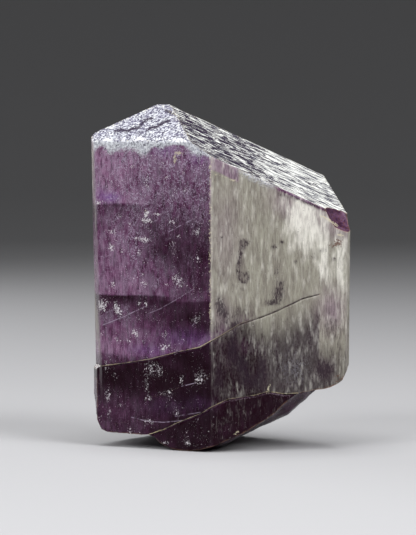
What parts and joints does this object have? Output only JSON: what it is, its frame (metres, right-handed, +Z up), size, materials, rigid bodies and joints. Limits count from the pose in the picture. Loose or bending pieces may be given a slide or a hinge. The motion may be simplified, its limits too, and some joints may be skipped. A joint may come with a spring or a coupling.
{
  "type": "scapolite crystal",
  "caption": "Purple scapolite crystal: a square natural prism with a pyramid tip, broken off at its foot, standing on the break.",
  "frame": {"origin": "middle of the crystal's bounding box, on the ground that its broken foot rests on", "axes": "+Z up along the crystal's c axis, -Y towards the viewer of the picture, +X to the viewer's right"},
  "size_m": [0.0394, 0.0326, 0.0524],
  "materials": {
    "purple_scapolite": "cloudy translucent purple crystal, glassy on the prism faces, frosted white on the pyramid faces and worn edges"
  },
  "bodies": {
    "root": {"crystal": "purple_scapolite"}
  },
  "joints": []
}
